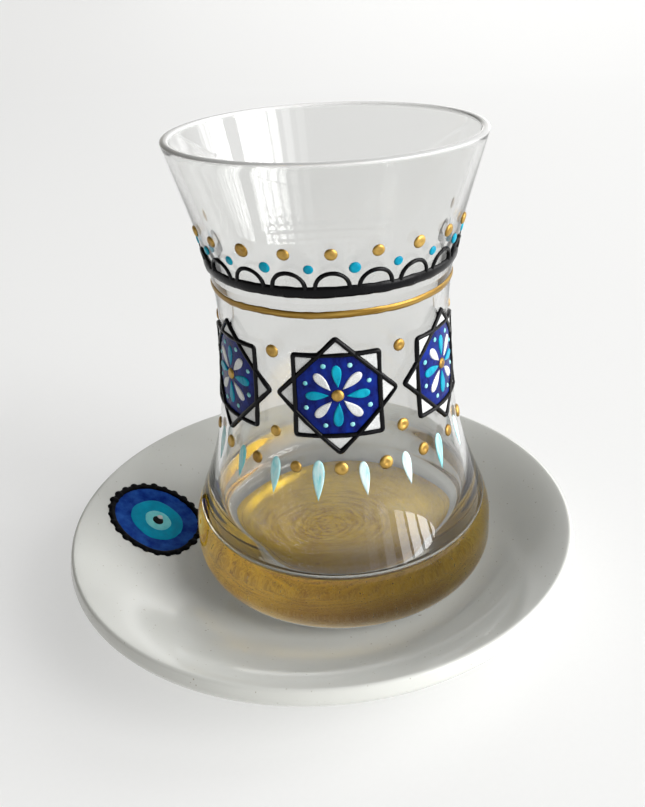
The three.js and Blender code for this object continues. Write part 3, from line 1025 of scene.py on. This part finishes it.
squares = [loop_round(star_middle_line, 4, first, STAR_CORNER, STAR_SPACING) for first in (0, 45)]
octagon = loop_round(octagon_reach, 8, 22.5, FIELD_CORNER, FIELD_SPACING)
for i, patch in enumerate(star_patches):
    name, node = f"star_line_{i + 1}", f"star_outline_{i + 1}"
    lines = [
        bead_line(path, STAR_LINE, STAR_LINE_HEIGHT, patch, i + 7 * k, closed=True)
        for k, path in enumerate(squares)
    ]
    set_shells(name, lines, black_relief, "tea_glass", "black_relief", node)
    name, node = f"star_blue_{i + 1}", f"star_field_{i + 1}"
    field = fill(octagon, FIELD_THICKNESS, patch, i + 31)
    set_shells(name, [field], cobalt_enamel, "tea_glass", "cobalt_enamel", node)

# %% [markdown]
# In each tip of a star is a small field of frosted silver, and on the cobalt lies a rosette: eight
# petals, by turns turquoise and silver, about a gold bead, with a pale dot between each two. They
# are marks, so the tree lays them.

# %% Star tips and rosettes
TIP_REACH, TIP_LENGTH, TIP_THICKNESS = 8.5, 2.7, 0.2
PETAL_REACH, PETAL_LIFT = 3.9, 0.16
BEAD_LIFT = 0.18
PALE_REACH, PALE_LIFT = 6.55, 0.14


def ring_places(count, reach, first_degrees, lift):
    """Places round every star, each lying outwards from its middle."""
    angles = angles_round(count, first_degrees)
    return [place_of(patch, *ray(reach, a), a, lift) for patch in star_patches for a in angles]


tip = rounded_loop([(-TIP_LENGTH, 0), (TIP_LENGTH, 0), (0, TIP_LENGTH)], 0.5, 0.8)
tip_shell = fill(tip, TIP_THICKNESS, mm, 3, sunk=0.2)
places = ring_places(8, TIP_REACH, 0, 0)
lay_marks("star_tips", tip_shell, places, frosted_silver, "tea_glass", "pale_enamel", 5, 0.02, 0.02)

small_petal = fill(petal_outline(4.7, 2.5), 0.26, mm, 4, sunk=0.12)
for name, finish, slot, first in (
    ("rosette_turquoise", turquoise_enamel, "turquoise_enamel", 0),
    ("rosette_silver", frosted_silver, "pale_enamel", 45),
):
    places = ring_places(4, PETAL_REACH, first, PETAL_LIFT)
    lay_marks(name, small_petal, places, finish, "tea_glass", slot, 11 + first)

places = ring_places(1, 0, 0, BEAD_LIFT)
bead = dot_shell(1.2, 0.55, 0.14)
lay_marks("rosette_beads", bead, places, bead_gold, "tea_glass", "gold_paint", 21)
places = ring_places(8, PALE_REACH, 22.5, PALE_LIFT)
pale_dot = dot_shell(0.5, 0.25, 0.0)
lay_marks("rosette_dots", pale_dot, places, pale_enamel, "tea_glass", "pale_enamel", 23)

# %% [markdown]
# ## The arched border and the gold stripe
#
# Above the stars a thin gold stripe and a black band run across the front, and a row of little
# arches stands on the band. The band is one wide contour line, and each arch a thin one that starts
# and ends in it.

# %% Gold stripe
STRIPE_GAP, STRIPE_WIDTH, STRIPE_DEGREES = 3.4, 1.5, 168
STRIPE_THICKNESS, STRIPE_WANDER = 0.28, 0.25
stripe_height = STAR_HEIGHT + star_reach + STRIPE_GAP + STRIPE_WIDTH / 2


def along_wall(height, half_degrees, wander, seed):
    """A level path across the front with a point each millimetre, wandering a little up and down."""
    reach = wall_radius(height) * math.radians(half_degrees)
    spots = np.linspace(-reach, reach, int(2 * reach) + 1)
    return [(x, wander * noise.noise(Vector((x * 0.11, seed, 0)))) for x in spots]


path = along_wall(stripe_height, STRIPE_DEGREES / 2, STRIPE_WANDER, 3)
patch = wall_patch(FRONT, stripe_height)
stripe = bead_line(path, STRIPE_WIDTH, STRIPE_THICKNESS, patch, 9)
set_shells("gold_line", [stripe], stripe_gold, "tea_glass", "gold_paint", "gold_stripe")

# %% Arched border
BORDER_GAP, BORDER_WIDTH, BORDER_THICKNESS, BORDER_WANDER = 2.8, 2.3, 0.5, 0.15
ARCH_PLACES, ARCH_COUNT, ARCH_GAP = 20, 11, 1.0
ARCH_LINE, ARCH_THICKNESS, ARCH_SUNK = 0.8, 0.45, 0.4
border_bottom = stripe_height + STRIPE_WIDTH / 2 + BORDER_GAP
border_height = border_bottom + BORDER_WIDTH / 2
arch_foot = border_bottom + BORDER_WIDTH
arch_turn = 2 * math.pi / ARCH_PLACES
arch_radius = (arch_turn * wall_radius(arch_foot) - ARCH_GAP) / 2 - ARCH_LINE / 2
arch_turns = [FRONT + (i - (ARCH_COUNT - 1) / 2) * arch_turn for i in range(ARCH_COUNT)]

path = along_wall(border_height, math.degrees(arch_turn * ARCH_COUNT / 2), BORDER_WANDER, 5)
patch = wall_patch(FRONT, border_height)
border = [bead_line(path, BORDER_WIDTH, BORDER_THICKNESS, patch, 4)]
arch = arc(0, -ARCH_SUNK, arch_radius, 0, 180, 20)
for i, turn in enumerate(arch_turns):
    border.append(bead_line(arch, ARCH_LINE, ARCH_THICKNESS, wall_patch(turn, arch_foot), 40 + i))
set_shells("border_line", border, black_relief, "tea_glass", "black_relief", "arched_border")

# %% [markdown]
# ## Dots and petals
#
# Rows of dots and petals fill the clear glass above and below: gold over every arch, turquoise
# between the arches, gold in the gaps between the stars, and a lower row of pearly petals with gold
# between them. The drops dry with a small hollow on top, which catches the light.

# %% Dots and petals
ROW_STEP, ROW_REACH = math.radians(10), 8
ARCH_DOT_GAP, ARCH_BETWEEN_HEIGHT = 3.4, 3.6
STAR_DOT_HEIGHT = 8.3
PETAL_HEIGHT, ROW_DOT_HEIGHT = 33.2, 35.6


def row_places(turns, height):
    return [place_of(wall_patch(turn, height), 0, 0, math.pi / 2) for turn in turns]


gaps = [FRONT + (k + 0.5) * star_step for k in (-2, -1, 0, 1)]
row_turns = [FRONT + k * ROW_STEP for k in range(-ROW_REACH, ROW_REACH + 1)]
places = row_places(arch_turns, arch_foot + arch_radius + ARCH_DOT_GAP)
for height in (STAR_HEIGHT - STAR_DOT_HEIGHT, STAR_HEIGHT + STAR_DOT_HEIGHT):
    places += row_places(gaps, height)
places += row_places(row_turns[0::2], ROW_DOT_HEIGHT)
gold_dot = dot_shell(1.3, 0.55, 0.2)
lay_marks("gold_dots", gold_dot, places, bead_gold, "tea_glass", "gold_paint", 51, 0.12)

between = [(a + b) / 2 for a, b in zip(arch_turns, arch_turns[1:])]
places = row_places(between, arch_foot + ARCH_BETWEEN_HEIGHT)
blue_dot = dot_shell(1.05, 0.4, 0.08)
lay_marks(
    "turquoise_dots", blue_dot, places, turquoise_enamel, "tea_glass", "turquoise_enamel", 53, 0.12)

places = row_places(row_turns[1::2], PETAL_HEIGHT)
large_petal = fill(petal_outline(7.6, 2.9), 0.22, mm, 6, sunk=0.12)
lay_marks("pearl_petals", large_petal, places, pearl_enamel, "tea_glass", "pale_enamel", 55, 0.1)

# %% [markdown]
# ## The roundel on the saucer
#
# A traditional blue eye bead, painted on the flank: cobalt inside a beaded black edge, then
# turquoise, pale blue and a black pupil with a touch of white. It is drawn flat too, on the cone
# that the flank nearly is, and each colour is a puddle whose edge wanders. Its paints are more matt
# than those on the glass, because this flank faces the window behind, and gloss would veil them.
# Its blue, turquoise and pale are also lighter than their colours on the glass: partly the bead's
# own lighter blue, and partly painted light where the glass shades this flank.

# %% Places on the flank
ROUNDEL_RADIUS, ROUNDEL_INSET, ROUNDEL_TURN = 11.8, 4.5, math.radians(168)
flank = np.array(upper_flank)
flank_lean = np.gradient(flank[:, 1], flank[:, 0])
flank_cosine = math.cos(math.atan2(flank_rise, flank_width))
roundel_reach = SAUCER_RADIUS - ROUNDEL_INSET - ROUNDEL_RADIUS * flank_cosine


def on_flank(x, y, lift):
    """y runs up the flank and x across it, about the middle of the roundel."""
    slant = roundel_reach / flank_cosine + y
    radius = math.hypot(slant, x) * flank_cosine
    turn = ROUNDEL_TURN - math.atan2(x, slant) / flank_cosine
    height, lean = (float(np.interp(radius, flank[:, 0], v)) for v in (flank[:, 1], flank_lean))
    out = lift / math.hypot(1, lean)
    return SAUCER_FOOT + polar(radius - lean * out, turn, height + out)


print("roundel", round(roundel_reach, 1), "mm from the saucer's middle")

# %% Roundel paints
MATT = (0.3, 0.5)
# Blue, turquoise and pale are painted lighter than on the glass, in part as painted light for the
# flank in the glass's shade.
eye_blue_painted_light = paint_finish("eye_blue_painted_light", (2, 44, 126), (48, 102, 192), 300, MATT, 0.02, shine=0.02)
eye_turquoise_painted_light = paint_finish(
    "eye_turquoise_painted_light", (0, 142, 178), (0, 170, 206), 300, MATT, 0.02, shine=0.03)
eye_pale_painted_light = paint_finish("eye_pale_painted_light", (112, 210, 216), (142, 226, 230), 600, MATT, 0.02, shine=0.04)
eye_black = paint_finish("eye_black", (3, 3, 5), (12, 12, 14), 260, MATT, 0.03, shine=0.04)
print(eye_blue_painted_light.name, eye_turquoise_painted_light.name, eye_pale_painted_light.name, eye_black.name)

# %% Roundel
LAYER, LAYER_STEP = 0.18, 0.13
EDGE_RADIUS, EDGE_WIDTH, EDGE_THICKNESS = 10.75, 1.5, 0.45
EDGE_BEADS, EDGE_BEAD_REACH = 27, 10.95
GLINT_RADIUS, GLINT_SIDEWAYS, GLINT_LIFT = 0.7, 1.2, 0.5


def wandering_disc(radius, wander, seed, count=64):
    outline = []
    for a in angles_round(count):
        uneven = 1 + wander * noise.noise(Vector((*ray(1.3, a), seed)))
        outline.append(ray(radius * uneven, a))
    return outline


layers = (
    ("roundel_cobalt", 10.6, 0.02, eye_blue_painted_light, "cobalt_enamel", "roundel_blue"),
    ("roundel_ring", 6.35, 0.05, eye_turquoise_painted_light, "turquoise_enamel", "roundel_turquoise"),
    ("roundel_light", 3.15, 0.06, eye_pale_painted_light, "pale_enamel", "roundel_pale"),
    ("roundel_black", 1.3, 0.06, eye_black, "black_relief", "roundel_pupil"),
)
for i, (name, radius, wander, finish, slot, node) in enumerate(layers):
    outline = wandering_disc(radius, wander, i + 1)
    laid = fill(outline, LAYER, lambda x, y, lift: on_flank(x, y, lift + i * LAYER_STEP), 61 + i)
    set_shells(name, [laid], finish, "saucer", slot, node)

edge_path = wandering_disc(EDGE_RADIUS, 0.015, 5, 120)
edge = bead_line(edge_path, EDGE_WIDTH, EDGE_THICKNESS, on_flank, 65, closed=True)
set_shells("roundel_line", [edge], eye_black, "saucer", "black_relief", "roundel_edge")
places = [place_of(on_flank, *ray(EDGE_BEAD_REACH, a), a) for a in angles_round(EDGE_BEADS)]
edge_bead = dot_shell(1.02, 0.5, 0.0)
lay_marks("roundel_beads", edge_bead, places, eye_black, "saucer", "black_relief", 67, 0.14)
glint = fill(
    wandering_disc(GLINT_RADIUS, 0.2, 8, 16),
    0.12,
    lambda x, y, lift: on_flank(x + GLINT_SIDEWAYS, y, lift + GLINT_LIFT),
    68,
)
set_shells("roundel_glint", [glint], frosted_silver, "saucer", "white_glaze")
